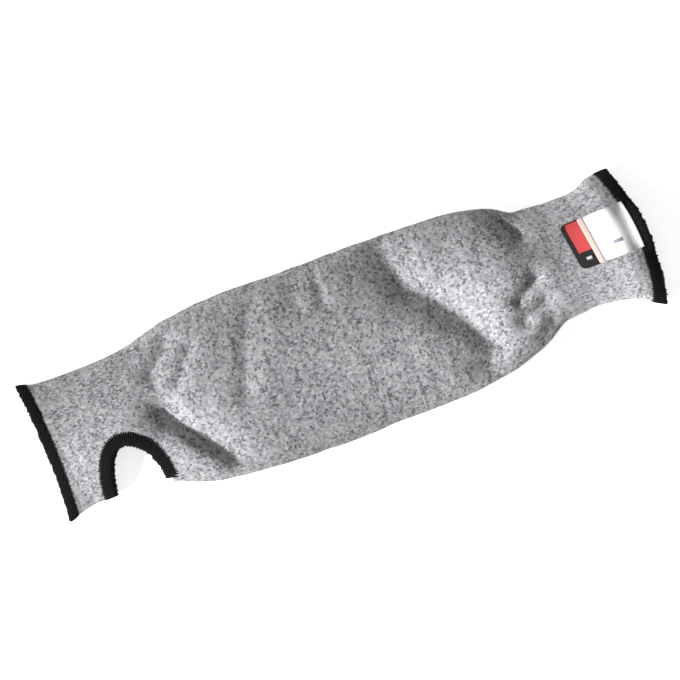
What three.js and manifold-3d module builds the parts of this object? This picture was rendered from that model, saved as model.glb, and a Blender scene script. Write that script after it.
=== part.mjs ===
// Protective arm sleeve: a seamless tube of cut-resistant knit with a thumb hole, overlocked edges and a
// sewn-in label, lying on a surface as it does when it is taken off.
// Millimetres. +X runs from the hand end to the upper-arm end, +Y across it, and +Z up from the surface.

import * as THREE from 'three';
import { mergeVertices } from 'three/addons/utils/BufferGeometryUtils.js';
import Module from 'manifold-3d';

// Driving sizes

const sleeveLength = 400; // hand end to upper-arm end
const bodyWidth = 115; // across the forearm, lying flat
const bodyHeight = 30; // crown of the forearm above the surface
const knitWall = 1.6;
const clearance = 0.3; // between pieces that touch on the real sleeve

const overlockWidth = 8.2; // how far an overlocked edge reaches over the knit
const thumbHoleOverlockWidth = 9; // the rim of the thumb hole is sewn a little wider
const overlockThickness = 3;

const thumbHoleFromHand = 48.9; // middle of the hole, from the hand end
const thumbHoleLength = 41; // along the sleeve, on the overlock's centre line
const thumbHoleDepth = 33; // from the side fold to the overlock's centre line
const thumbHoleLean = 3; // how far its deepest point leans towards the hand end
const thumbHoleEase = 0.3; // extra room between the knit and the overlock, which turns over the side fold

const labelWidth = 31; // across the sleeve
const labelFrontLength = 28;
const labelBackLength = 40;
const labelThickness = 0.6;
const labelOffCentre = 7; // middle of the label from the sleeve's centre line
const labelSlope = 0.03; // sideways run for each millimetre along
const labelEase = 0.15; // extra room between the knit's facets and the label's lower layer

// Sections of the flattened tube. along is a share of the sleeve's length. lower and upper are the reach to
// each side, as shares of the body's width. height is a share of the body's height, and lean turns the
// section, in degrees, so that the upper-arm end is cut on the slant. draw is how far the section's two sides
// bow towards the hand, as a share of the length.

const sections = [
  { along: 0, lower: 0.448, upper: 0.43, height: 0.5, lean: 2.5, draw: 0.017 },
  { along: 0.019, lower: 0.392, upper: 0.372, height: 0.49, lean: 2, draw: 0.0095 },
  { along: 0.047, lower: 0.366, upper: 0.358, height: 0.49, lean: 1, draw: 0.003 },
  { along: 0.127, lower: 0.372, upper: 0.364, height: 0.56, lean: 0, draw: 0 },
  { along: 0.177, lower: 0.403, upper: 0.387, height: 0.61, lean: 0, draw: 0 },
  { along: 0.214, lower: 0.455, upper: 0.424, height: 0.68, lean: 0, draw: 0 },
  { along: 0.257, lower: 0.487, upper: 0.455, height: 0.76, lean: 0, draw: 0 },
  { along: 0.347, lower: 0.514, upper: 0.479, height: 0.89, lean: 0, draw: 0 },
  { along: 0.438, lower: 0.523, upper: 0.471, height: 0.97, lean: 0, draw: 0 },
  { along: 0.548, lower: 0.513, upper: 0.477, height: 1.0, lean: 0, draw: 0 },
  { along: 0.648, lower: 0.507, upper: 0.469, height: 1.0, lean: 0, draw: 0 },
  { along: 0.698, lower: 0.486, upper: 0.464, height: 0.99, lean: 0, draw: 0 },
  { along: 0.743, lower: 0.453, upper: 0.446, height: 0.95, lean: 1, draw: 0 },
  { along: 0.783, lower: 0.404, upper: 0.412, height: 0.86, lean: 3, draw: 0 },
  { along: 0.801, lower: 0.362, upper: 0.386, height: 0.79, lean: 5, draw: 0 },
  { along: 0.822, lower: 0.315, upper: 0.35, height: 0.7, lean: 7, draw: 0 },
  { along: 0.843, lower: 0.304, upper: 0.344, height: 0.63, lean: 8, draw: 0 },
  { along: 0.879, lower: 0.294, upper: 0.334, height: 0.56, lean: 9, draw: 0 },
  { along: 0.929, lower: 0.32, upper: 0.342, height: 0.55, lean: 8, draw: 0.002 },
  { along: 0.959, lower: 0.35, upper: 0.382, height: 0.57, lean: 6, draw: 0.009 },
  { along: 0.984, lower: 0.38, upper: 0.39, height: 0.58, lean: 5, draw: 0.018 },
  { along: 1.0, lower: 0.392, upper: 0.388, height: 0.57, lean: 5, draw: 0.0225 },
];

// Folds pressed into the upper layer. Each follows a route of places: along as a share of the length, across
// as a share of the body's width from the centre line. depth and spread are shares of the body's height, and
// a ridge has a negative depth. power says how sharp its bottom is: 2 is round, and 1 is a crease.

const folds = [
  {
    name: 'long valley across the forearm',
    route: [[0.598, 0.42], [0.603, 0.3], [0.616, 0.157], [0.647, 0.066], [0.676, -0.064],
      [0.699, -0.192], [0.713, -0.31], [0.7, -0.38]],
    depth: 0.39,
    spread: 0.52,
    power: 1.25,
  },
  {
    name: 'dimple at the neck',
    route: [[0.78, 0.41], [0.791, 0.335], [0.808, 0.235]],
    depth: 0.26,
    spread: 0.2,
    power: 1.5,
  },
  { name: 'first pinch', route: [[0.808, -0.04], [0.771, -0.12]], depth: 0.18, spread: 0.17, power: 1.5 },
  { name: 'second pinch', route: [[0.807, -0.17], [0.77, -0.23]], depth: 0.17, spread: 0.18, power: 1.5 },
  { name: 'third pinch', route: [[0.808, -0.28], [0.787, -0.35]], depth: 0.15, spread: 0.16, power: 1.5 },
  {
    name: 'crease above the wrist',
    route: [[0.238, 0.33], [0.197, 0.19]],
    depth: 0.17,
    spread: 0.18,
    power: 1.5,
  },
  {
    name: 'second crease above the wrist',
    route: [[0.268, 0.25], [0.232, 0.1]],
    depth: 0.1,
    spread: 0.15,
    power: 1.5,
  },
  {
    name: 'soft crease',
    route: [[0.378, 0.36], [0.352, 0.18], [0.328, -0.08]],
    depth: 0.09,
    spread: 0.22,
    power: 1.5,
  },
  { name: 'short crease', route: [[0.448, 0.4], [0.446, 0.28]], depth: 0.07, spread: 0.17, power: 1.5 },
  {
    name: 'second short crease',
    route: [[0.486, 0.38], [0.486, 0.24]],
    depth: 0.08,
    spread: 0.17,
    power: 1.5,
  },
  {
    name: 'valley from the thumb hole',
    route: [[0.198, -0.027], [0.23, -0.197], [0.264, -0.338], [0.277, -0.384]],
    depth: 0.4,
    spread: 0.3,
    power: 1.4,
  },
  {
    name: 'swell beside the thumb hole',
    route: [[0.206, -0.2], [0.232, -0.31], [0.252, -0.4]],
    depth: -0.14,
    spread: 0.24,
    power: 2,
  },
  {
    name: 'press at the hand edge',
    route: [[0.02, -0.12], [0.02, -0.34]],
    depth: 0.09,
    spread: 0.5,
    power: 2,
  },
  {
    name: 'upper furrow at the arm edge',
    route: [[0.99, 0.24], [0.984, 0.38]],
    depth: 0.17,
    spread: 0.3,
    power: 1.6,
  },
  {
    name: 'lower furrow at the arm edge',
    route: [[0.992, -0.14], [0.992, -0.36]],
    depth: 0.17,
    spread: 0.3,
    power: 1.6,
  },
];

// Shape of one section, as shares of its own reach and height

const sideFoldHeight = 0.36; // where the side fold is widest
const crownRoundness = 2.3; // powers of the crown's curve
const crownFullness = 1.7;
const flatShare = 0.8; // the part of the lower layer that lies flat on the surface
const drawPower = 2.4; // how closely a section's bow keeps to its sides

// Fineness of the faceted solids

const alongSteps = 56;
const topSteps = 22;
const bottomSteps = 12;
const beadSides = 8;
const thumbHoleSteps = 36;
const labelRow = 3; // length of one facet of the label
const labelColumns = 8;
const derivativeStep = 1e-4;
const mergeDistance = 1e-4;
const routeFineness = 8; // fine stops for each ring of the thumb hole's overlock

const knitStart = (overlockWidth + clearance) / sleeveLength;
const knitEnd = 1 - knitStart;

// Smooth value of one column between the sections, by a cubic through the rows

function slopeAt(row, column) {
  const before = sections[Math.max(row - 1, 0)];
  const after = sections[Math.min(row + 1, sections.length - 1)];
  return (after[column] - before[column]) / (after.along - before.along);
}

function sectionValue(column, along) {
  let row = 0;
  while (row < sections.length - 2 && sections[row + 1].along < along) row += 1;
  const here = sections[row];
  const next = sections[row + 1];
  const span = next.along - here.along;
  const t = (along - here.along) / span;
  const t2 = t * t;
  const t3 = t2 * t;
  return (2 * t3 - 3 * t2 + 1) * here[column] + (t3 - 2 * t2 + t) * span * slopeAt(row, column)
    + (3 * t2 - 2 * t3) * next[column] + (t3 - t2) * span * slopeAt(row + 1, column);
}

// How far the folds press the upper layer down at a place in the sleeve's plan

function planPlace([along, across]) {
  return new THREE.Vector2(along * sleeveLength, across * bodyWidth);
}

function distanceToRoute(place, route) {
  let nearest = Infinity;
  for (let leg = 1; leg < route.length; leg += 1) {
    const from = planPlace(route[leg - 1]);
    const run = planPlace(route[leg]).sub(from);
    const share = THREE.MathUtils.clamp(place.clone().sub(from).dot(run) / run.lengthSq(), 0, 1);
    nearest = Math.min(nearest, place.distanceTo(from.addScaledVector(run, share)));
  }
  return nearest;
}

function foldDepth(along, across) {
  const place = new THREE.Vector2(along * sleeveLength, across);
  return folds.reduce((total, { route, depth, spread, power }) => {
    const distance = distanceToRoute(place, route) / (spread * bodyHeight);
    return total + depth * bodyHeight * Math.exp(-(distance ** power));
  }, 0);
}

// A point of the tube's outer face. reach runs from -1 at one side fold to 1 at the other, over the upper
// layer or, where isUpper is false, under the lower one.

function outerPoint(along, reach, isUpper) {
  const half = bodyWidth * sectionValue(reach < 0 ? 'lower' : 'upper', along);
  const crown = bodyHeight * sectionValue('height', along);
  const side = crown * sideFoldHeight;
  const across = reach * half;
  const draw = sleeveLength * sectionValue('draw', along) * Math.abs(reach) ** drawPower;
  const lean = Math.tan(THREE.MathUtils.degToRad(sectionValue('lean', along)));
  const x = along * sleeveLength - lean * across - draw;
  if (isUpper) {
    const arch = Math.max(1 - Math.abs(reach) ** crownRoundness, 0) ** (1 / crownFullness);
    return new THREE.Vector3(x, across, side + (crown - side) * arch - foldDepth(along, across) * arch);
  }
  const roll = Math.max(Math.abs(reach) - flatShare, 0) / (1 - flatShare);
  return new THREE.Vector3(x, across, side * (1 - Math.sqrt(Math.max(1 - roll * roll, 0))));
}

// The loop of one section: over the upper layer from the lower side fold, and back under the lower layer

function sectionLoop(along) {
  const loop = [];
  for (let step = 0; step < topSteps; step += 1) {
    const angle = Math.PI * step / topSteps;
    loop.push(outerPoint(along, -Math.cos(angle), true));
  }
  for (let step = 0; step < bottomSteps; step += 1) {
    const turn = -1 + 2 * step / bottomSteps;
    const spread = Math.sin(turn * Math.PI / 2);
    loop.push(outerPoint(along, -spread, false));
  }
  return loop;
}

// Normals that stay in the section's own plane, so that a wall keeps the ends' faces flush

function loopNormals(loop) {
  return loop.map((point, index) => {
    const before = loop[(index + loop.length - 1) % loop.length];
    const after = loop[(index + 1) % loop.length];
    return new THREE.Vector3(0, before.z - after.z, after.y - before.y).normalize();
  });
}

function inset(loop, distance) {
  const normals = loopNormals(loop);
  return loop.map((point, index) => point.clone().addScaledVector(normals[index], -distance));
}

// A closed mesh from rings of points, each joined to the next, the last one to the first

function ringsGeometry(rings) {
  const count = rings[0].length;
  const positions = rings.flat().flatMap((point) => [point.x, point.y, point.z]);
  const faces = [];
  rings.forEach((ring, row) => {
    const nextRow = (row + 1) % rings.length;
    for (let column = 0; column < count; column += 1) {
      const nextColumn = (column + 1) % count;
      const a = row * count + column;
      const b = row * count + nextColumn;
      const c = nextRow * count + nextColumn;
      const d = nextRow * count + column;
      faces.push(a, c, b, a, d, c);
    }
  });
  const geometry = new THREE.BufferGeometry();
  geometry.setAttribute('position', new THREE.Float32BufferAttribute(positions, 3));
  geometry.setIndex(faces);
  return geometry;
}

// Joining and cutting of closed meshes

const wasm = await Module();
wasm.setup();

function toSolid(geometry) {
  const bare = geometry.clone();
  bare.deleteAttribute('normal');
  bare.deleteAttribute('uv');
  const merged = mergeVertices(bare, mergeDistance);
  return new wasm.Manifold(new wasm.Mesh({
    numProp: 3,
    vertProperties: new Float32Array(merged.attributes.position.array),
    triVerts: new Uint32Array(merged.index.array),
  }));
}

function toGeometry(solid) {
  const mesh = solid.getMesh();
  const geometry = new THREE.BufferGeometry();
  geometry.setAttribute('position', new THREE.BufferAttribute(new Float32Array(mesh.vertProperties), 3));
  geometry.setIndex(Array.from(mesh.triVerts));
  return geometry;
}

// The knit tube, hollow from end to end

function tubeGeometry() {
  const outer = [];
  const inner = [];
  for (let step = 0; step <= alongSteps; step += 1) {
    const loop = sectionLoop(THREE.MathUtils.lerp(knitStart, knitEnd, step / alongSteps));
    outer.push(loop);
    inner.push(inset(loop, knitWall));
  }
  return ringsGeometry([...outer, ...inner.reverse()]);
}

// The thumb hole's plan: half an oval that opens at the lower side fold, from its arm side round to its hand
// side. widen moves it out over the knit.

function lowerFold(x) {
  return -bodyWidth * sectionValue('lower', x / sleeveLength);
}

function thumbHolePlan(angle, widen) {
  const onOval = (turn) => new THREE.Vector2(
    thumbHoleFromHand + (thumbHoleLength / 2) * Math.cos(turn) - thumbHoleLean * Math.sin(turn) ** 4,
    lowerFold(thumbHoleFromHand) + thumbHoleDepth * Math.sin(turn),
  );
  const run = onOval(angle + derivativeStep).sub(onOval(angle - derivativeStep)).normalize();
  return onOval(angle).add(new THREE.Vector2(run.y, -run.x).multiplyScalar(widen));
}

function thumbHoleCutter() {
  const widen = thumbHoleOverlockWidth / 2 + clearance + thumbHoleEase;
  const beyond = lowerFold(thumbHoleFromHand) - thumbHoleDepth;
  const outline = [];
  for (let step = 0; step <= thumbHoleSteps; step += 1) {
    outline.push(thumbHolePlan(Math.PI * step / thumbHoleSteps, widen));
  }
  const first = outline[0];
  const last = outline[thumbHoleSteps];
  outline.push(new THREE.Vector2(last.x, beyond), new THREE.Vector2(first.x, beyond));
  const spare = bodyHeight;
  const geometry = new THREE.ExtrudeGeometry(new THREE.Shape(outline), {
    depth: bodyHeight + 2 * spare,
    bevelEnabled: false,
  });
  return geometry.translate(0, 0, -spare);
}

// An overlocked edge: a flattened bead of thread round the knit's edge. Each stop of its route has a place
// in the middle of the wall, the direction that it is wide in and the direction that it is thin in.

function beadGeometry(stops, width) {
  const rings = stops.map(({ place, wide, thin }) => {
    const middle = place.clone();
    middle.z = Math.max(middle.z, overlockThickness / 2);
    const ring = [];
    for (let side = 0; side < beadSides; side += 1) {
      const angle = 2 * Math.PI * side / beadSides;
      ring.push(middle.clone()
        .addScaledVector(wide, Math.cos(angle) * width / 2)
        .addScaledVector(thin, Math.sin(angle) * overlockThickness / 2));
    }
    return ring;
  });
  return ringsGeometry(rings);
}

// The ring at one end of the sleeve carries the knit's edge on, away from the knit

function endRingGeometry(edgeAlong, direction) {
  const loop = sectionLoop(edgeAlong);
  const ahead = sectionLoop(edgeAlong + derivativeStep);
  const normals = loopNormals(loop);
  const middle = inset(loop, knitWall / 2);
  const reach = clearance + overlockWidth / 2;
  return beadGeometry(loop.map((point, index) => {
    const wide = ahead[index].clone().sub(point).normalize();
    return { place: middle[index].addScaledVector(wide, direction * reach), wide, thin: normals[index] };
  }), overlockWidth);
}

// The thumb hole's overlock runs over the upper layer, round the side fold, and back under the lower layer

function wallStop(x, y, isUpper) {
  const along = x / sleeveLength;
  const half = -lowerFold(x);
  const reach = THREE.MathUtils.clamp(y / half, -1, 0);
  const point = outerPoint(along, reach, isUpper);
  const ahead = outerPoint(along + derivativeStep, reach, isUpper).sub(point);
  const beside = outerPoint(along, reach + derivativeStep, isUpper).sub(point);
  const thin = ahead.cross(beside).multiplyScalar(isUpper ? 1 : -1).normalize();
  return { place: point.addScaledVector(thin, -knitWall / 2), thin };
}

function thumbHoleRoute() {
  const fine = routeFineness * thumbHoleSteps;
  const route = [];
  for (let step = 0; step < fine; step += 1) {
    const angle = 2 * Math.PI * step / fine;
    const isUpper = angle < Math.PI;
    const plan = thumbHolePlan(isUpper ? angle : 2 * Math.PI - angle, 0);
    route.push(wallStop(plan.x, plan.y, isUpper));
  }
  return route;
}

function thumbHoleRingGeometry() {
  const route = thumbHoleRoute();
  const lengths = [0];
  route.forEach((stop, index) => {
    const next = route[(index + 1) % route.length];
    lengths.push(lengths[index] + stop.place.distanceTo(next.place));
  });
  const total = lengths[route.length];
  const chosen = [];
  for (let step = 0; step < thumbHoleSteps; step += 1) {
    const wanted = total * step / thumbHoleSteps;
    chosen.push(route[lengths.findIndex((length) => length >= wanted) % route.length]);
  }
  return beadGeometry(chosen.map((stop, index) => {
    const before = chosen[(index + chosen.length - 1) % chosen.length];
    const after = chosen[(index + 1) % chosen.length];
    const forward = after.place.clone().sub(before.place).normalize();
    const wide = new THREE.Vector3().crossVectors(forward, stop.thin).normalize();
    const thin = new THREE.Vector3().crossVectors(wide, forward);
    return { place: stop.place, wide, thin };
  }), thumbHoleOverlockWidth);
}

// A layer of the label: a thin plate that follows the upper layer's face, lift above it. Its rows are
// counted back from the sewn edge, so that both layers fold at the same places.

function labelGeometry(length, lift) {
  const rows = [];
  for (let back = 0; back < length; back += labelRow) rows.push(back);
  rows.push(length);
  const under = [];
  for (const back of rows) {
    const along = knitEnd - back / sleeveLength;
    for (let column = labelColumns; column >= 0; column -= 1) {
      const across = labelOffCentre + labelWidth * (column / labelColumns - 0.5) - labelSlope * back;
      const half = bodyWidth * sectionValue(across < 0 ? 'lower' : 'upper', along);
      const point = outerPoint(along, across / half, true);
      under.push(point.setZ(point.z + lift));
    }
  }
  const over = under.map((point) => point.clone().setZ(point.z + labelThickness));
  return plateGeometry([under, over], labelColumns + 1);
}

// A closed plate from two like grids of points, the lower face first

function plateGeometry([under, over], width) {
  const count = under.length;
  const height = count / width;
  const positions = [...under, ...over].flatMap((point) => [point.x, point.y, point.z]);
  const index = [];
  const quad = (a, b, c, d) => index.push(a, b, c, a, c, d);
  for (let row = 0; row < height - 1; row += 1) {
    for (let column = 0; column < width - 1; column += 1) {
      const a = row * width + column;
      quad(a, a + 1, a + width + 1, a + width);
      quad(count + a, count + a + width, count + a + width + 1, count + a + 1);
    }
    const left = row * width;
    const right = left + width - 1;
    quad(left, left + width, count + left + width, count + left);
    quad(right, count + right, count + right + width, right + width);
  }
  for (let column = 0; column < width - 1; column += 1) {
    const near = column;
    const far = (height - 1) * width + column;
    quad(near, count + near, count + near + 1, near + 1);
    quad(far, far + 1, count + far + 1, count + far);
  }
  const geometry = new THREE.BufferGeometry();
  geometry.setAttribute('position', new THREE.Float32BufferAttribute(positions, 3));
  geometry.setIndex(index);
  return geometry;
}

// Materials

const knitFinish = new THREE.MeshStandardMaterial({ color: 0xa5a6aa, roughness: 0.92, metalness: 0 });
const overlockFinish = new THREE.MeshStandardMaterial({ color: 0x141416, roughness: 0.85, metalness: 0 });
const labelFrontFinish = new THREE.MeshStandardMaterial({ color: 0xf0f2f3, roughness: 0.6, metalness: 0 });
const labelBackFinish = new THREE.MeshStandardMaterial({ color: 0x9c2a2c, roughness: 0.6, metalness: 0 });

function piece(name, geometry, material) {
  const mesh = new THREE.Mesh(geometry, material);
  mesh.name = name;
  mesh.geometry.computeVertexNormals();
  return mesh;
}

// The sleeve, with its origin at the middle of its footprint

const knit = toGeometry(toSolid(tubeGeometry()).subtract(toSolid(thumbHoleCutter())));
const labelBackLift = clearance + labelEase;
const labelFrontLift = labelBackLift + labelThickness + clearance;

const sleeve = new THREE.Group();
sleeve.add(
  piece('sleeve_knit', knit, knitFinish),
  piece('hand_edge_overlock', endRingGeometry(knitStart, -1), overlockFinish),
  piece('arm_edge_overlock', endRingGeometry(knitEnd, 1), overlockFinish),
  piece('thumb_hole_overlock', thumbHoleRingGeometry(), overlockFinish),
  piece('label_front', labelGeometry(labelFrontLength, labelFrontLift), labelFrontFinish),
  piece('label_back', labelGeometry(labelBackLength, labelBackLift), labelBackFinish),
);

const footprint = new THREE.Box3().setFromObject(sleeve);
const middle = footprint.getCenter(new THREE.Vector3());
sleeve.position.set(-middle.x, -middle.y, -footprint.min.z);

export default sleeve;
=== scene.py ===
# %% [markdown]
# # A protective arm sleeve, lying on a table
#
# The sleeve is one seamless tube of cut-resistant knit. It has a thumb hole in its side fold, black
# overlocked edges, and a small cloth label sewn in at the upper-arm end. This lesson dresses the fixed
# frame of the sleeve: every new piece is made in metres, in the frame's own place, so nothing is fitted
# afterwards.

# %% The frame
import math
import random

import bmesh
import bpy
import numpy as np
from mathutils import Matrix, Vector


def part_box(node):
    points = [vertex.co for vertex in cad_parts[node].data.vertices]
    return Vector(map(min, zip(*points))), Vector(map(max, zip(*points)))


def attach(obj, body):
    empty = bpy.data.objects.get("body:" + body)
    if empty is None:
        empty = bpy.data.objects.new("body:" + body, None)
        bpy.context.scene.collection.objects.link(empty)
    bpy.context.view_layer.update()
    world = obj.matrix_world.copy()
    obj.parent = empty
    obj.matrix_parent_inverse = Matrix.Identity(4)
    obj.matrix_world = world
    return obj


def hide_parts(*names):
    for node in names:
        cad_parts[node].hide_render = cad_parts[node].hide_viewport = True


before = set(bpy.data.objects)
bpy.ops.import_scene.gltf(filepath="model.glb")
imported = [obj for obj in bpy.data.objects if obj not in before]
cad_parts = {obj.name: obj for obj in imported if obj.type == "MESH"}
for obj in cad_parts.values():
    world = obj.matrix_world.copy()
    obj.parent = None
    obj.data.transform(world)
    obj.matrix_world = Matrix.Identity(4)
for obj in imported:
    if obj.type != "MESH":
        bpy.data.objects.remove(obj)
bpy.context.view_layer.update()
BODY = "root"
MM = 0.001
for node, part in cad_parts.items():
    print(f"{node}: {len(part.data.polygons)} faces")

# %% [markdown]
# ## The sleeve's sizes
#
# These are the same sizes that the frame was made from, in millimetres. A soft piece is modelled again here
# with far finer faces, so its form has to come from the same numbers. The tables hold shares of the named
# sizes: a row for each section of the flattened tube, and a row for each fold in its upper layer.

# %% Sizes
SLEEVE_LENGTH = 400.0
BODY_WIDTH = 115.0
BODY_HEIGHT = 30.0
KNIT_WALL = 1.6
CLEARANCE = 0.3
OVERLOCK_WIDTH = 8.2
THUMB_HOLE_OVERLOCK_WIDTH = 9.0
OVERLOCK_THICKNESS = 3.0
THUMB_HOLE_FROM_HAND = 48.9
THUMB_HOLE_LENGTH = 41.0
THUMB_HOLE_DEPTH = 33.0
THUMB_HOLE_LEAN = 3.0
LABEL_WIDTH = 31.0
LABEL_FRONT_LENGTH = 28.0
LABEL_BACK_LENGTH = 40.0
LABEL_THICKNESS = 0.6
LABEL_OFF_CENTRE = 7.0
LABEL_SLOPE = 0.03

SECTION_COLUMNS = ("along", "lower", "upper", "height", "lean", "draw")
SECTIONS = (
    (0.000, 0.448, 0.430, 0.50, 2.5, 0.017),
    (0.019, 0.392, 0.372, 0.49, 2, 0.0095),
    (0.047, 0.366, 0.358, 0.49, 1, 0.003),
    (0.127, 0.372, 0.364, 0.56, 0, 0),
    (0.177, 0.403, 0.387, 0.61, 0, 0),
    (0.214, 0.455, 0.424, 0.68, 0, 0),
    (0.257, 0.487, 0.455, 0.76, 0, 0),
    (0.347, 0.514, 0.479, 0.89, 0, 0),
    (0.438, 0.523, 0.471, 0.97, 0, 0),
    (0.548, 0.513, 0.477, 1.00, 0, 0),
    (0.648, 0.507, 0.469, 1.00, 0, 0),
    (0.698, 0.486, 0.464, 0.99, 0, 0),
    (0.743, 0.453, 0.446, 0.95, 1, 0),
    (0.783, 0.404, 0.412, 0.86, 3, 0),
    (0.801, 0.362, 0.386, 0.79, 5, 0),
    (0.822, 0.315, 0.350, 0.70, 7, 0),
    (0.843, 0.304, 0.344, 0.63, 8, 0),
    (0.879, 0.294, 0.334, 0.56, 9, 0),
    (0.929, 0.320, 0.342, 0.55, 8, 0.002),
    (0.959, 0.350, 0.382, 0.57, 6, 0.009),
    (0.984, 0.380, 0.390, 0.58, 5, 0.018),
    (1.000, 0.392, 0.388, 0.57, 5, 0.0225),
)
SECTION = {name: np.array(column, float) for name, column in zip(SECTION_COLUMNS, zip(*SECTIONS))}

# Each fold: its route as (along, across) shares, its depth and its spread as shares of the body's height,
# and the power of its profile, from 1, a crease, to 2, a round valley
FOLDS = {
    "long valley across the forearm": (
        ((0.598, 0.42), (0.603, 0.3), (0.616, 0.157), (0.647, 0.066), (0.676, -0.064), (0.699, -0.192),
         (0.713, -0.31), (0.7, -0.38)), 0.39, 0.52, 1.25),
    "dimple at the neck": (((0.78, 0.41), (0.791, 0.335), (0.808, 0.235)), 0.26, 0.2, 1.5),
    "first pinch": (((0.808, -0.04), (0.771, -0.12)), 0.18, 0.17, 1.5),
    "second pinch": (((0.807, -0.17), (0.77, -0.23)), 0.17, 0.18, 1.5),
    "third pinch": (((0.808, -0.28), (0.787, -0.35)), 0.15, 0.16, 1.5),
    "crease above the wrist": (((0.238, 0.33), (0.197, 0.19)), 0.17, 0.18, 1.5),
    "second crease above the wrist": (((0.268, 0.25), (0.232, 0.1)), 0.1, 0.15, 1.5),
    "soft crease": (((0.378, 0.36), (0.352, 0.18), (0.328, -0.08)), 0.09, 0.22, 1.5),
    "short crease": (((0.448, 0.4), (0.446, 0.28)), 0.07, 0.17, 1.5),
    "second short crease": (((0.486, 0.38), (0.486, 0.24)), 0.08, 0.17, 1.5),
    "valley from the thumb hole": (
        ((0.198, -0.027), (0.23, -0.197), (0.264, -0.338), (0.277, -0.384)), 0.4, 0.3, 1.4),
    "swell beside the thumb hole": (((0.206, -0.2), (0.232, -0.31), (0.252, -0.4)), -0.14, 0.24, 2),
    "press at the hand edge": (((0.02, -0.12), (0.02, -0.34)), 0.09, 0.5, 2),
    "upper furrow at the arm edge": (((0.99, 0.24), (0.984, 0.38)), 0.17, 0.3, 1.6),
    "lower furrow at the arm edge": (((0.992, -0.14), (0.992, -0.36)), 0.17, 0.3, 1.6),
}
SIDE_FOLD_HEIGHT = 0.36
CROWN_ROUNDNESS = 2.3
CROWN_FULLNESS = 1.7
FLAT_SHARE = 0.8
DRAW_POWER = 2.4
KNIT_START = (OVERLOCK_WIDTH + CLEARANCE) / SLEEVE_LENGTH
KNIT_END = 1 - KNIT_START
print(f"{len(SECTIONS)} sections, {len(FOLDS)} folds")

# %% [markdown]
# ## The form of the flattened tube
#
# One function gives a point of the tube's outer face. along runs from the hand end to the arm end, and reach
# from one side fold to the other. Numpy works out all the points of a sheet at once, which is quicker than a
# loop, and a cubic through the section rows keeps the sides smooth.


# %% Smooth sections and folds
def section_value(name, along):
    rows = SECTION["along"]
    values = SECTION[name]
    slopes = np.empty_like(values)
    slopes[1:-1] = (values[2:] - values[:-2]) / (rows[2:] - rows[:-2])
    slopes[0] = (values[1] - values[0]) / (rows[1] - rows[0])
    slopes[-1] = (values[-1] - values[-2]) / (rows[-1] - rows[-2])
    row = np.clip(np.searchsorted(rows, along) - 1, 0, len(rows) - 2)
    span = rows[row + 1] - rows[row]
    t = (along - rows[row]) / span
    start = (2 * t**3 - 3 * t**2 + 1) * values[row] + (t**3 - 2 * t**2 + t) * span * slopes[row]
    return start + (3 * t**2 - 2 * t**3) * values[row + 1] + (t**3 - t**2) * span * slopes[row + 1]


def distance_to_route(x, y, route):
    nearest = np.full(np.shape(x), np.inf)
    places = [(a * SLEEVE_LENGTH, b * BODY_WIDTH) for a, b in route]
    for (x0, y0), (x1, y1) in zip(places, places[1:]):
        run_x, run_y = x1 - x0, y1 - y0
        share = np.clip(((x - x0) * run_x + (y - y0) * run_y) / (run_x**2 + run_y**2), 0, 1)
        nearest = np.minimum(nearest, np.hypot(x - x0 - share * run_x, y - y0 - share * run_y))
    return nearest


def fold_depth(along, across):
    total = np.zeros(np.shape(across))
    for route, depth, spread, power in FOLDS.values():
        distance = distance_to_route(along * SLEEVE_LENGTH, across, route) / (spread * BODY_HEIGHT)
        total += depth * BODY_HEIGHT * np.exp(-distance**power)
    return total


def smooth_step(value):
    t = np.clip(value, 0, 1)
    return t * t * (3 - 2 * t)


# %% One point, or many, of the tube's outer face
def outer_points(along, reach, upper):
    half = BODY_WIDTH * np.where(reach < 0, section_value("lower", along), section_value("upper", along))
    crown = BODY_HEIGHT * section_value("height", along)
    side = crown * SIDE_FOLD_HEIGHT
    across = reach * half
    draw = SLEEVE_LENGTH * section_value("draw", along) * np.abs(reach) ** DRAW_POWER
    lean = np.tan(np.radians(section_value("lean", along)))
    x = along * SLEEVE_LENGTH - lean * across - draw
    arch = np.maximum(1 - np.abs(reach) ** CROWN_ROUNDNESS, 0) ** (1 / CROWN_FULLNESS)
    over = side + (crown - side) * arch - fold_depth(along, across) * arch
    roll = np.maximum(np.abs(reach) - FLAT_SHARE, 0) / (1 - FLAT_SHARE)
    under = side * (1 - np.sqrt(np.maximum(1 - roll**2, 0)))
    return np.stack([x, across, np.where(upper, over, under)], -1)


sample = outer_points(np.array([0.5]), np.array([0.0]), np.array([True]))[0]
print("crown of the forearm at", sample.round(1), "mm")

# %% Loops of points, evenly spaced round the tube
LOOP_SAMPLES = 400


def section_loops(along, count):
    """Loops over the upper layer from the lower side fold and back under it: an array (rows, count, 3)."""
    turn = np.arange(LOOP_SAMPLES) / LOOP_SAMPLES * 2 * math.pi
    reach = -np.cos(turn)
    grid = outer_points(along[:, None] + 0 * reach, reach[None, :] + 0 * along[:, None], (turn < math.pi)[None, :])
    closed = np.concatenate([grid, grid[:, :1]], 1)
    steps = np.linalg.norm(np.diff(closed[:, :, 1:], axis=1), axis=2)
    lengths = np.concatenate([np.zeros((len(along), 1)), steps.cumsum(1)], 1)
    loops = np.empty((len(along), count, 3))
    for row in range(len(along)):
        wanted = np.arange(count) / count * lengths[row, -1]
        for axis in range(3):
            loops[row, :, axis] = np.interp(wanted, lengths[row], closed[row, :, axis])
    return loops, lengths[:, -1]


def loop_normals(loops):
    ahead = np.roll(loops, -1, 1) - np.roll(loops, 1, 1)
    normals = np.stack([0 * ahead[..., 0], -ahead[..., 2], ahead[..., 1]], -1)
    return normals / np.linalg.norm(normals, axis=-1, keepdims=True)


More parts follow.
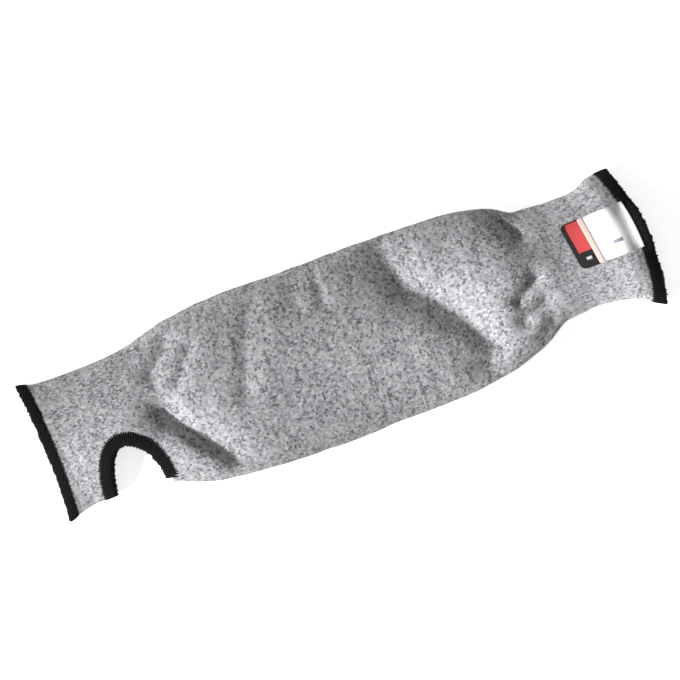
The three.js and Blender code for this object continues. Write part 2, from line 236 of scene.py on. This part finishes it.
loops, girths = section_loops(np.array([0.1, 0.5, 0.9]), 100)
print("round the wrist, forearm and upper arm:", girths.round(0), "mm")

# %% [markdown]
# ## From the tube's form to the frame
#
# The frame's origin is in the middle of the sleeve's footprint, and the tables start at the hand end. The
# knit's box in the frame says how far to move everything, so the two always agree.

# %% Where the sleeve lies in the frame
FINE_ALONG = np.linspace(KNIT_START, KNIT_END, 200)
knit_low, knit_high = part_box("sleeve_knit")
fine_loops, _ = section_loops(FINE_ALONG, 200)
SHIFT = np.array([
    (knit_low.x + knit_high.x) / 2 / MM - (fine_loops[..., 0].min() + fine_loops[..., 0].max()) / 2,
    (knit_low.y + knit_high.y) / 2 / MM - (fine_loops[..., 1].min() + fine_loops[..., 1].max()) / 2,
    0,
])
print("shift into the frame:", SHIFT.round(2), "mm")

# %% [markdown]
# ## A sheet from a grid
#
# Every soft piece starts as Blender's own grid, which brings tidy quads and a UV map that runs from 0 to 1
# both ways. Its points are then moved to the places that the form gives. Where a sheet closes on itself, the
# doubled points are merged, and the UV seam stays.


# %% Grid sheets
def only(piece):
    bpy.ops.object.select_all(action="DESELECT")
    piece.select_set(True)
    bpy.context.view_layer.objects.active = piece


def grid_sheet(name, places):
    """A grid whose point (row, column) lies at places[row, column], in millimetres from the hand end."""
    rows, columns = places.shape[0] - 1, places.shape[1] - 1
    bpy.ops.object.select_all(action="DESELECT")
    bpy.ops.mesh.primitive_grid_add(x_subdivisions=columns, y_subdivisions=rows, size=1)
    sheet = bpy.context.object
    sheet.name = sheet.data.name = name
    flat = np.empty(len(sheet.data.vertices) * 3)
    sheet.data.vertices.foreach_get("co", flat)
    flat = flat.reshape(-1, 3)
    column = np.rint((flat[:, 0] + 0.5) * columns).astype(int)
    row = np.rint((flat[:, 1] + 0.5) * rows).astype(int)
    sheet.data.vertices.foreach_set("co", ((places[row, column] + SHIFT) * MM).ravel())
    bpy.ops.object.mode_set(mode="EDIT")
    bpy.ops.mesh.select_all(action="SELECT")
    bpy.ops.mesh.remove_doubles(threshold=1e-6)
    bpy.ops.object.mode_set(mode="OBJECT")
    bpy.ops.object.shade_smooth()
    return sheet


def apply_modifiers(piece):
    only(piece)
    for modifier in list(piece.modifiers):
        bpy.ops.object.modifier_apply(modifier=modifier.name)


def place_piece(piece, node, material):
    piece.data.materials.clear()
    piece.data.materials.append(material)
    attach(piece, BODY)
    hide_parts(node)
    print(f"{piece.name}: {sum(len(f.vertices) - 2 for f in piece.data.polygons)} triangles")


# %% [markdown]
# ## Shader helpers
#
# A material's pattern is a small sum, worked out at every point of the surface. This helper adds one Math
# node and joins its inputs, so that a formula reads from left to right.


# %% Node helpers
def add_node(tree, kind, **settings):
    node = tree.nodes.new(kind)
    for name, value in settings.items():
        setattr(node, name, value)
    return node


def join(tree, value, socket):
    if isinstance(value, bpy.types.NodeSocket):
        tree.links.new(value, socket)
    else:
        socket.default_value = value


def calc(tree, operation, *values):
    node = add_node(tree, "ShaderNodeMath", operation=operation)
    for value, socket in zip(values, node.inputs):
        join(tree, value, socket)
    return node.outputs[0]


def map_range(tree, value, low, high, to_low=0.0, to_high=1.0):
    node = add_node(tree, "ShaderNodeMapRange")
    for name, given in zip(("Value", "From Min", "From Max", "To Min", "To Max"), (value, low, high, to_low, to_high)):
        join(tree, given, node.inputs[name])
    return node.outputs["Result"]


def colour_ramp(tree, value, stops):
    node = add_node(tree, "ShaderNodeValToRGB")
    while len(node.color_ramp.elements) < len(stops):
        node.color_ramp.elements.new(0.5)
    for element, (position, colour) in zip(node.color_ramp.elements, stops):
        element.position = position
        element.color = (*colour, 1)
    join(tree, value, node.inputs["Fac"])
    return node.outputs["Color"]


def mix_colour(tree, share, first, second, blend="MIX"):
    node = add_node(tree, "ShaderNodeMix", data_type="RGBA", blend_type=blend)
    join(tree, share, node.inputs["Factor"])
    for given, socket in ((first, node.inputs[6]), (second, node.inputs[7])):
        join(tree, given if isinstance(given, bpy.types.NodeSocket) else (*given, 1), socket)
    return node.outputs[2]


def new_group(name, inputs, outputs):
    tree = bpy.data.node_groups.new(name, "ShaderNodeTree")
    for label, kind, default in inputs:
        socket = tree.interface.new_socket(label, in_out="INPUT", socket_type=kind)
        if default is not None:
            socket.default_value = default
    for label, kind in outputs:
        tree.interface.new_socket(label, in_out="OUTPUT", socket_type=kind)
    entry = tree.nodes.new("NodeGroupInput")
    result = tree.nodes.new("NodeGroupOutput")
    return tree, entry.outputs, result.inputs


def use_group(tree, group, **values):
    node = add_node(tree, "ShaderNodeGroup", node_tree=group)
    for name, value in values.items():
        join(tree, value, node.inputs[name])
    return node.outputs


def new_material(name, roughness, gloss=0.5, sheen=0.0):
    material = bpy.data.materials.new(name)
    material.use_nodes = True
    shader = material.node_tree.nodes["Principled BSDF"]
    shader.inputs["Roughness"].default_value = roughness
    shader.inputs["Specular IOR Level"].default_value = gloss
    shader.inputs["Sheen Weight"].default_value = sheen
    return material, material.node_tree, shader


def add_bump(tree, shader, height, distance, strength=1.0):
    bump = add_node(tree, "ShaderNodeBump")
    bump.inputs["Strength"].default_value = strength
    bump.inputs["Distance"].default_value = distance
    tree.links.new(height, bump.inputs["Height"])
    tree.links.new(bump.outputs["Normal"], shader.inputs["Normal"])


FLOAT, VECTOR, COLOUR = "NodeSocketFloat", "NodeSocketVector", "NodeSocketColor"
print("helpers ready")

# %% [markdown]
# ## Marl knit
#
# Plain jersey shows columns of small V-shaped stitches. The yarn here is a marl: white high-strength fibre
# plied with grey and black, so that neighbouring stitches differ. The group counts the stitches along the
# UV map, bends each row into a V, gives every stitch and every leg its own tone, and rounds each leg in
# the height that the bump reads. The knit's material also darkens its colour where that height is low:
# painted shade in the hollows between the legs. A photograph of cloth would stretch at the cuffs; a counted
# pattern does what real stitches do and gets finer there.

# %% The stitch pattern group
WALES = 140.0
COURSES = 300.0
marl, entry, result = new_group(
    "marl_jersey",
    [("UV", VECTOR, None), ("Wales", FLOAT, WALES), ("Courses", FLOAT, COURSES), ("Bars", FLOAT, 0.6)],
    [("Shade", FLOAT), ("Height", FLOAT)],
)
split = add_node(marl, "ShaderNodeSeparateXYZ")
marl.links.new(entry["UV"], split.inputs[0])
wale = calc(marl, "MULTIPLY", split.outputs["Y"], entry["Wales"])
course = calc(marl, "MULTIPLY", split.outputs["X"], entry["Courses"])
off_centre = calc(marl, "ABSOLUTE", calc(marl, "SUBTRACT", calc(marl, "FRACT", wale), 0.5))
bent = calc(marl, "ADD", course, calc(marl, "MULTIPLY", off_centre, 1.3))
stitch_row = calc(marl, "FLOOR", bent)
in_row = calc(marl, "FRACT", bent)
leg = calc(marl, "FLOOR", calc(marl, "MULTIPLY", wale, 2.0))


def random_shade(tree, a, b, seed):
    place = add_node(tree, "ShaderNodeCombineXYZ")
    for value, socket in zip((a, b, seed), place.inputs):
        join(tree, value, socket)
    noise = add_node(tree, "ShaderNodeTexWhiteNoise", noise_dimensions="3D")
    tree.links.new(place.outputs[0], noise.inputs["Vector"])
    return noise.outputs["Value"]


stitch_shade = random_shade(marl, calc(marl, "FLOOR", wale), stitch_row, 3.0)
leg_shade = random_shade(marl, leg, stitch_row, 11.0)
yarn_shade = calc(marl, "ADD", calc(marl, "MULTIPLY", stitch_shade, 0.6), calc(marl, "MULTIPLY", leg_shade, 0.4))
along_yarn = add_node(marl, "ShaderNodeCombineXYZ")
marl.links.new(calc(marl, "MULTIPLY", course, 0.3), along_yarn.inputs["X"])
marl.links.new(calc(marl, "MULTIPLY", wale, 0.05), along_yarn.inputs["Y"])
bars = add_node(marl, "ShaderNodeTexNoise")
bars.inputs["Scale"].default_value = 1.0
bars.inputs["Detail"].default_value = 3.0
marl.links.new(along_yarn.outputs[0], bars.inputs["Vector"])
bar_shade = calc(marl, "MULTIPLY", calc(marl, "SUBTRACT", bars.outputs["Fac"], 0.5), entry["Bars"])
marl.links.new(calc(marl, "ADD", yarn_shade, bar_shade), result["Shade"])
over_leg = calc(marl, "MULTIPLY", calc(marl, "SUBTRACT", off_centre, 0.25), 4.0)
leg_round = calc(marl, "SUBTRACT", 1.0, calc(marl, "MULTIPLY", over_leg, over_leg))
over_row = calc(marl, "SUBTRACT", calc(marl, "MULTIPLY", in_row, 2.0), 1.0)
row_round = calc(marl, "SUBTRACT", 1.0, calc(marl, "MULTIPLY", calc(marl, "MULTIPLY", over_row, over_row), 0.7))
leg_height = calc(marl, "SQRT", calc(marl, "MAXIMUM", leg_round, 0.0))
marl.links.new(calc(marl, "MULTIPLY", leg_height, row_round), result["Height"])
print("stitches:", int(WALES), "round by", int(COURSES), "along")

# %% The knit's material
KNIT_SHADES = (
    (0.08, (0.095, 0.097, 0.102)),
    (0.24, (0.185, 0.189, 0.197)),
    (0.42, (0.300, 0.306, 0.316)),
    (0.70, (0.400, 0.407, 0.418)),
    (0.95, (0.540, 0.547, 0.560)),
)
knit_finish, tree, shader = new_material("marl_knit", 0.9, gloss=0.3, sheen=0.1)
uv = add_node(tree, "ShaderNodeTexCoord").outputs["UV"]
stitches = use_group(tree, marl, UV=uv)
shades = colour_ramp(tree, stitches["Shade"], KNIT_SHADES)
# Painted shade: the stitch colour is darkened where the stitch height is low, in the hollows between the legs
painted_hollow_shade = map_range(tree, stitches["Height"], 0.0, 0.8, 0.72, 1.0)
painted_shade_colour = add_node(tree, "ShaderNodeCombineColor")
for socket in painted_shade_colour.inputs[:3]:
    tree.links.new(painted_hollow_shade, socket)
tree.links.new(mix_colour(tree, 1.0, shades, painted_shade_colour.outputs[0], "MULTIPLY"), shader.inputs["Base Color"])
STITCH_RELIEF = 0.22 * MM
add_bump(tree, shader, stitches["Height"], STITCH_RELIEF)
print("knit material ready")

# %% [markdown]
# ## The knit tube
#
# The real tube is knitted round in one go, with no side seam. A grid is wrapped round the sections and merged
# where it meets, so it has no seam either. At each end it carries straight on under the overlock stitches.
# The thumb hole is opened by deleting the faces inside its outline; the cut edge is hidden in the overlock,
# as it is on the real sleeve. A Displace modifier gives the upper layer the slight unevenness of soft cloth,
# and Solidify gives the sheet its real wall.


# %% Loops that carry on under the overlocked edges
def tube_loops(along, count):
    inside = np.clip(along, KNIT_START, KNIT_END)
    step = 1e-4
    loops, _ = section_loops(inside, count)
    ahead, _ = section_loops(inside + step, count)
    forward = ahead - loops
    forward /= np.linalg.norm(forward, axis=-1, keepdims=True)
    return loops + forward * ((along - inside) * SLEEVE_LENGTH)[:, None, None]


def lower_fold(x):
    return -BODY_WIDTH * section_value("lower", x / SLEEVE_LENGTH)


def in_thumb_hole(x, y, widen=0.0):
    rise = (y - lower_fold(THUMB_HOLE_FROM_HAND)) / (THUMB_HOLE_DEPTH + widen)
    middle = THUMB_HOLE_FROM_HAND - THUMB_HOLE_LEAN * np.clip(rise, 0, 1) ** 4
    return ((x - middle) / (THUMB_HOLE_LENGTH / 2 + widen)) ** 2 + rise**2 < 1


# %% The tube, its thumb hole and its wall
KNIT_ALONG_FACES = 236
KNIT_ROUND_FACES = 160
RIPPLE_DEPTH = 1.2 * MM
RIPPLE_SIZE = 0.016
RIPPLE_FREE = 8.0
edge = OVERLOCK_WIDTH / 2 / SLEEVE_LENGTH
tube_along = np.linspace(edge, 1 - edge, KNIT_ALONG_FACES + 1)
loops = tube_loops(tube_along, KNIT_ROUND_FACES)
loops = np.concatenate([loops, loops[:, :1]], 1)
knit = grid_sheet("sleeve_knit_fabric", loops.transpose(1, 0, 2))

mesh = bmesh.new()
mesh.from_mesh(knit.data)
cut = []
for face in mesh.faces:
    centre = face.calc_center_median()
    if in_thumb_hole(centre.x / MM - SHIFT[0], centre.y / MM - SHIFT[1]):
        cut.append(face)
bmesh.ops.delete(mesh, geom=cut, context="FACES")
mesh.to_mesh(knit.data)
mesh.free()

upper = knit.vertex_groups.new(name="upper_layer")
for vertex in knit.data.vertices:
    x, y, z = np.array(vertex.co) / MM - SHIFT
    from_rim = min(x, SLEEVE_LENGTH - x) - OVERLOCK_WIDTH - RIPPLE_FREE
    still = in_thumb_hole(x, y, THUMB_HOLE_OVERLOCK_WIDTH)
    weight = 0.0 if still else smooth_step((z - 3) / 6) * smooth_step(from_rim / RIPPLE_FREE)
    upper.add([vertex.index], weight, "REPLACE")
clouds = bpy.data.textures.new("soft_ripple", "CLOUDS")
clouds.noise_scale = RIPPLE_SIZE
clouds.noise_depth = 1
ripple = knit.modifiers.new("ripple", "DISPLACE")
ripple.texture = clouds
ripple.texture_coords = "LOCAL"
ripple.strength = RIPPLE_DEPTH
ripple.mid_level = 0.5
ripple.vertex_group = upper.name
wall = knit.modifiers.new("wall", "SOLIDIFY")
wall.thickness = KNIT_WALL * MM
wall.offset = -1
apply_modifiers(knit)
knit.vertex_groups.clear()
place_piece(knit, "sleeve_knit", knit_finish)

# %% [markdown]
# ## Overlocked edges
#
# A serger wraps the knit's edge in textured thread. The thread crosses over the edge again and again, so each
# rim is a flat bead with a ribbed face and a slightly ragged border. A filled core carries one long thread
# that winds round it, turn beside turn, and closes on itself. Each turn reaches a little more or less far
# than its neighbour, as real stitches do. The route is the same one that the frame's plain bead follows.


# %% Routes of the rims
def unit(vectors):
    return vectors / np.maximum(np.linalg.norm(vectors, axis=-1, keepdims=True), 1e-9)


def end_route(edge_along, direction, count):
    loops, _ = section_loops(np.array([edge_along, edge_along + 1e-4]), count)
    thin = loop_normals(loops[:1])[0]
    wide = unit(loops[1] - loops[0])
    place = loops[0] - thin * KNIT_WALL / 2 + wide * direction * (CLEARANCE + OVERLOCK_WIDTH / 2)
    return place, wide, thin


def thumb_hole_route(count):
    fine = count * 8
    turn = np.arange(fine) / fine * 2 * math.pi
    upper_half = turn < math.pi
    angle = np.where(upper_half, turn, 2 * math.pi - turn)
    x = THUMB_HOLE_FROM_HAND + THUMB_HOLE_LENGTH / 2 * np.cos(angle) - THUMB_HOLE_LEAN * np.sin(angle) ** 4
    y = lower_fold(THUMB_HOLE_FROM_HAND) + THUMB_HOLE_DEPTH * np.sin(angle)
    reach = np.clip(y / -lower_fold(x), -1, 0)
    point = outer_points(x / SLEEVE_LENGTH, reach, upper_half)
    ahead = outer_points(x / SLEEVE_LENGTH + 1e-4, reach, upper_half) - point
    beside = outer_points(x / SLEEVE_LENGTH, reach + 1e-4, upper_half) - point
    thin = unit(np.cross(ahead, beside) * np.where(upper_half, 1, -1)[:, None])
    place = point - thin * KNIT_WALL / 2
    lengths = np.linalg.norm(np.roll(place, -1, 0) - place, axis=1).cumsum()
    chosen = np.searchsorted(lengths, np.arange(count) / count * lengths[-1])
    place, thin = place[chosen], thin[chosen]
    forward = unit(np.roll(place, -1, 0) - np.roll(place, 1, 0))
    wide = unit(np.cross(forward, thin))
    return place, wide, np.cross(wide, forward)


# %% A bead with its wound thread
THREAD_RADIUS = 0.62
THREAD_PITCH = 1.25
THREAD_SIDES = 6
BEAD_FULLNESS = 0.7
STEPS_PER_TURN = 14
CORE_SIDES = 14
RAGGED = 0.12
draws = random.Random(41)


def resample(values, count):
    """A closed route's values at count + 1 even places; the last is the first again."""
    closed = np.concatenate([values, values[:1]])
    where = np.linspace(0, len(values), count + 1)
    return np.stack([np.interp(where, np.arange(len(closed)), closed[:, axis]) for axis in range(3)], -1)


def bead_points(route, around, half_wide, half_thin, count):
    place, wide, thin = (resample(part, count) for part in route)
    place[:, 2] = np.maximum(place[:, 2], OVERLOCK_THICKNESS / 2)
    cosine, sine = np.cos(around), np.sin(around)
    across = np.sign(cosine) * np.abs(cosine) ** BEAD_FULLNESS * half_wide
    up = np.sign(sine) * np.abs(sine) ** BEAD_FULLNESS * half_thin
    return place + wide * across[:, None] + thin * up[:, None]


def overlock_rim(name, node, route, width):
    place = route[0]
    length = np.linalg.norm(np.roll(place, -1, 0) - place, axis=1).sum()
    core_count = int(length / 1.5)
    rings = [
        bead_points(route, np.full(core_count + 1, angle), width / 2 - THREAD_RADIUS * 1.3,
                    OVERLOCK_THICKNESS / 2 - THREAD_RADIUS * 0.8, core_count)
        for angle in np.linspace(0, 2 * math.pi, CORE_SIDES + 1)
    ]
    core = grid_sheet(name, np.array(rings))

    turns = int(length / THREAD_PITCH)
    count = turns * STEPS_PER_TURN
    angle = np.arange(count + 1) / STEPS_PER_TURN * 2 * math.pi
    jitter = np.array([draws.uniform(-1, 1) for _ in range(2 * turns)])
    jitter = np.interp(np.arange(count + 1) / STEPS_PER_TURN * 2 % (2 * turns), np.arange(2 * turns + 1),
                       np.append(jitter, jitter[0]))
    centre = bead_points(route, angle, (width / 2 - THREAD_RADIUS) * (1 + RAGGED * jitter),
                         OVERLOCK_THICKNESS / 2 - THREAD_RADIUS, count)
    forward = centre[1:] - centre[:-1]
    forward = unit(np.concatenate([forward, forward[:1]]) + np.concatenate([forward[-1:], forward]))
    middle = resample(place, count)
    outwards = unit(centre - middle)
    side = unit(np.cross(forward, outwards))
    outwards = np.cross(side, forward)
    rings = [
        centre + (side * math.cos(turn) + outwards * math.sin(turn)) * THREAD_RADIUS
        for turn in np.linspace(0, -2 * math.pi, THREAD_SIDES + 1)
    ]
    thread = grid_sheet(name + "_thread", np.array(rings))
    only(core)
    thread.select_set(True)
    bpy.ops.object.join()
    place_piece(core, node, thread_finish)
    print(f"  {turns} turns of thread in {length:.0f} mm of edge")
    return core


# %% The thread's material
THREAD_TWISTS = 1500.0
thread_finish, tree, shader = new_material("overlock_thread", 0.85, gloss=0.15)
coordinates = add_node(tree, "ShaderNodeTexCoord")
split = add_node(tree, "ShaderNodeSeparateXYZ")
tree.links.new(coordinates.outputs["UV"], split.inputs[0])
lay = calc(tree, "ADD", calc(tree, "MULTIPLY", split.outputs["X"], THREAD_TWISTS), split.outputs["Y"])
ply = calc(tree, "ABSOLUTE", calc(tree, "SUBTRACT", calc(tree, "FRACT", lay), 0.5))
fuzz = add_node(tree, "ShaderNodeTexNoise")
fuzz.inputs["Scale"].default_value = 900.0
fuzz.inputs["Detail"].default_value = 3.0
tree.links.new(coordinates.outputs["Object"], fuzz.inputs["Vector"])
tone = calc(tree, "ADD", calc(tree, "MULTIPLY", ply, 0.8), calc(tree, "MULTIPLY", fuzz.outputs["Fac"], 0.6))
THREAD_SHADES = ((0.2, (0.002, 0.002, 0.0025)), (0.6, (0.005, 0.005, 0.006)), (0.9, (0.016, 0.016, 0.019)))
tree.links.new(colour_ramp(tree, tone, THREAD_SHADES), shader.inputs["Base Color"])
add_bump(tree, shader, tone, 0.2 * MM)
print("thread material ready")

# %% The three rims
ROUTE_STEPS = 400
HAND_RIM_WIDTH = 8.4
ARM_RIM_WIDTH = 10.4
THUMB_RIM_WIDTH = 9.8
hand_rim = overlock_rim("hand_edge_overlock_rim", "hand_edge_overlock",
                        end_route(KNIT_START, -1, ROUTE_STEPS), HAND_RIM_WIDTH)
arm_rim = overlock_rim("arm_edge_overlock_rim", "arm_edge_overlock",
                       end_route(KNIT_END, 1, ROUTE_STEPS), ARM_RIM_WIDTH)
thumb_rim = overlock_rim("thumb_hole_overlock_rim", "thumb_hole_overlock",
                         thumb_hole_route(ROUTE_STEPS), THUMB_RIM_WIDTH)

# %% [markdown]
# ## The sewn-in label
#
# Two layers of woven tape are caught in the upper-arm overlock. The short white one lies on top, and the
# longer dark one shows its end beyond it, with a red block. Both are sheets that follow the knit's face a
# little above it. Tape is stiffer than knit, so its free corners stand off slightly.


# %% Label sheets
LABEL_STEPS = 40
LABEL_TUCK = 2.5
LABEL_CLOTH = 0.45
CORNER_LIFT = 1.1
SWELL_HEIGHT = 2.3
SWELL_PLACE = 10.5
SWELL_SPREAD = 5.5
PRESSED = 7.0


def label_sheet(name, length, lift, corner_radius):
    side = np.linspace(0.5, -0.5, LABEL_STEPS + 1)[:, None]
    into_corner = np.clip(np.abs(side) * LABEL_WIDTH - LABEL_WIDTH / 2 + corner_radius, 0, corner_radius)
    reach = length - corner_radius + np.sqrt(corner_radius**2 - into_corner**2)
    back = -LABEL_TUCK + (reach + LABEL_TUCK) * np.linspace(0, 1, LABEL_STEPS + 1)[None, :]
    across = LABEL_OFF_CENTRE + LABEL_WIDTH * side - LABEL_SLOPE * back
    along = KNIT_END - np.maximum(back, 0) / SLEEVE_LENGTH
    half = BODY_WIDTH * np.where(across < 0, section_value("lower", along), section_value("upper", along))
    places = outer_points(along, across / half, np.array(True))
    places[..., 0] += np.maximum(-back, 0)
    free = smooth_step((back - 0.45 * length) / (0.55 * length))
    swell = SWELL_HEIGHT * np.exp(-((back - SWELL_PLACE) / SWELL_SPREAD) ** 2)
    places[..., 2] += lift * (0.3 + 0.7 * smooth_step(back / PRESSED))
    places[..., 2] += swell + CORNER_LIFT * free * (2 * np.abs(side)) ** 3
    sheet = grid_sheet(name, places)
    wall = sheet.modifiers.new("cloth", "SOLIDIFY")
    wall.thickness = LABEL_CLOTH * MM
    wall.offset = 1
    apply_modifiers(sheet)
    return sheet


label_back = label_sheet("label_lower_layer", LABEL_BACK_LENGTH, CLEARANCE, 4.0)
label_front = label_sheet("label_upper_layer", LABEL_FRONT_LENGTH, 2 * CLEARANCE + LABEL_THICKNESS, 0.8)
print("label layers made")

# %% [markdown]
# ## Woven tape
#
# The tape is a fine satin: warp and weft cross far closer than the knit's stitches. One group gives the weave's
# height from the UV map, and each layer mixes its own plain colour fields over it. That height drives the bump,
# and it also darkens the colour a little where the weave lies low: painted shade.

# %% The weave group and the label's materials
weave, entry, result = new_group(
    "woven_tape", [("UV", VECTOR, None), ("Warps", FLOAT, 70.0), ("Wefts", FLOAT, 70.0)], [("Height", FLOAT)])
split = add_node(weave, "ShaderNodeSeparateXYZ")
weave.links.new(entry["UV"], split.inputs[0])
warp = calc(weave, "MULTIPLY", split.outputs["X"], calc(weave, "MULTIPLY", entry["Warps"], 2 * math.pi))
weft = calc(weave, "MULTIPLY", split.outputs["Y"], calc(weave, "MULTIPLY", entry["Wefts"], 2 * math.pi))
weave.links.new(calc(weave, "MULTIPLY", calc(weave, "SINE", warp), calc(weave, "SINE", weft)), result["Height"])


def tape_material(name, warps, gloss, colour_of):
    material, tree, shader = new_material(name, 0.62, gloss)
    uv = add_node(tree, "ShaderNodeTexCoord").outputs["UV"]
    height = use_group(tree, weave, UV=uv, Warps=warps)["Height"]
    split = add_node(tree, "ShaderNodeSeparateXYZ")
    tree.links.new(uv, split.inputs[0])
    colour = colour_of(tree, split.outputs["X"], split.outputs["Y"])
    # Painted shade: the tape's colour is darkened a little where the weave lies low
    painted_weave_shade = map_range(tree, height, -1.0, 1.0, 0.9, 1.0)
    painted_shade_colour = add_node(tree, "ShaderNodeCombineColor")
    for socket in painted_shade_colour.inputs[:3]:
        tree.links.new(painted_weave_shade, socket)
    tree.links.new(mix_colour(tree, 1.0, colour, painted_shade_colour.outputs[0], "MULTIPLY"), shader.inputs["Base Color"])
    add_bump(tree, shader, height, 0.05 * MM)
    return material


def between(tree, value, low, high):
    return calc(tree, "MULTIPLY", calc(tree, "GREATER_THAN", value, low), calc(tree, "LESS_THAN", value, high))


def block(tree, along, start, end, across, top, bottom):
    return calc(tree, "MULTIPLY", between(tree, along, start, end), between(tree, across, top, bottom))


WHITE_TAPE = (0.70, 0.71, 0.72)
PEACH_EDGE = (0.66, 0.47, 0.40)
MAUVE_LINE = (0.30, 0.22, 0.24)
FAINT_PRINT = (0.46, 0.49, 0.52)
GREY_PRINT = (0.16, 0.18, 0.21)
RED_BLOCK = (0.50, 0.055, 0.058)
DARK_TAPE = (0.012, 0.010, 0.011)


def front_colour(tree, along, across):
    colour = mix_colour(tree, calc(tree, "GREATER_THAN", along, 0.91), WHITE_TAPE, PEACH_EDGE)
    colour = mix_colour(tree, between(tree, along, 0.875, 0.91), colour, MAUVE_LINE)
    colour = mix_colour(tree, block(tree, along, 0.44, 0.62, across, 0.17, 0.33), colour, FAINT_PRINT)
    return mix_colour(tree, block(tree, along, 0.36, 0.56, across, 0.66, 0.74), colour, GREY_PRINT)


def back_colour(tree, along, across):
    colour = mix_colour(tree, block(tree, along, 0.0, 0.925, across, 0.03, 0.66), DARK_TAPE, RED_BLOCK)
    return mix_colour(tree, block(tree, along, 0.78, 0.86, across, 0.78, 0.84), colour, FAINT_PRINT)


white_finish = tape_material("label_white_tape", 70.0, 0.4, front_colour)
dark_finish = tape_material("label_dark_tape", 95.0, 0.2, back_colour)
place_piece(label_front, "label_front", white_finish)
place_piece(label_back, "label_back", dark_finish)

# %% [markdown]
# ## Floor, light and camera
#
# The photograph looks straight down. Its light is a broad lamp from the hand end, low enough that each fold
# has a bright and a dark flank, with a weak fill from all round.

# %% The studio
bpy.ops.object.select_all(action="DESELECT")
bpy.ops.mesh.primitive_plane_add(size=6)
floor = bpy.context.object
floor.name = "studio_floor"
floor_finish, tree, shader = new_material("studio_floor", 0.9, gloss=0.1)
shader.inputs["Base Color"].default_value = (0.92, 0.92, 0.92, 1)
shader.inputs["Emission Color"].default_value = (1, 1, 1, 1)
shader.inputs["Emission Strength"].default_value = 0.7
floor.data.materials.append(floor_finish)

world = bpy.data.worlds.new("studio_fill")
world.use_nodes = True
world.node_tree.nodes["Background"].inputs["Color"].default_value = (1, 1, 1, 1)
world.node_tree.nodes["Background"].inputs["Strength"].default_value = 0.33
bpy.context.scene.world = world

LAMP_DISTANCE = 2.4
SOFT_BOX_SIZE = 0.7
SPOT_RADIUS = 0.06


def light_direction(azimuth, elevation):
    a, e = math.radians(azimuth), math.radians(elevation)
    return np.array([math.cos(a) * math.cos(e), math.sin(a) * math.cos(e), math.sin(e)])


def area_light(name, azimuth, elevation, power):
    a, e = math.radians(azimuth), math.radians(elevation)
    bpy.ops.object.light_add(type="AREA", location=light_direction(azimuth, elevation) * LAMP_DISTANCE)
    light = bpy.context.object
    light.name = name
    light.rotation_euler = (math.pi / 2 - e, 0, a + math.pi / 2)
    light.data.shape = "DISK"
    light.data.size = SOFT_BOX_SIZE
    light.data.energy = power


def spot_light(name, aim, azimuth, elevation, cone, power):
    a, e = math.radians(azimuth), math.radians(elevation)
    place = np.array(aim) + light_direction(azimuth, elevation) * LAMP_DISTANCE
    bpy.ops.object.light_add(type="SPOT", location=place)
    light = bpy.context.object
    light.name = name
    light.rotation_euler = (math.pi / 2 - e, 0, a + math.pi / 2)
    light.data.spot_size = math.radians(cone)
    light.data.spot_blend = 1.0
    light.data.shadow_soft_size = SPOT_RADIUS
    light.data.energy = power


area_light("key_light", 181, 25, 86)
spot_light("arm_end_light", (0.235, -0.01, 0.0), 184, 27, 4.4, 730)
spot_light("hand_end_light", (-0.188, -0.035, 0.0), 195, 27, 2.3, 1000)

CAMERA_OVER = np.array([196.7, 1.7])
CAMERA_TURN = -20.1
CAMERA_DISTANCE = 1.4
FRAME_WIDTH = 0.4245
bpy.ops.object.camera_add(
    location=(*((CAMERA_OVER + SHIFT[:2]) * MM), CAMERA_DISTANCE + 0.01), rotation=(0, 0, math.radians(CAMERA_TURN)))
camera = bpy.context.object
camera.data.lens = camera.data.sensor_width * CAMERA_DISTANCE / FRAME_WIDTH
bpy.context.scene.camera = camera
bpy.context.scene.view_settings.view_transform = "Standard"
print("lens:", round(camera.data.lens, 1), "mm")

# %% The end
bpy.context.view_layer.update()
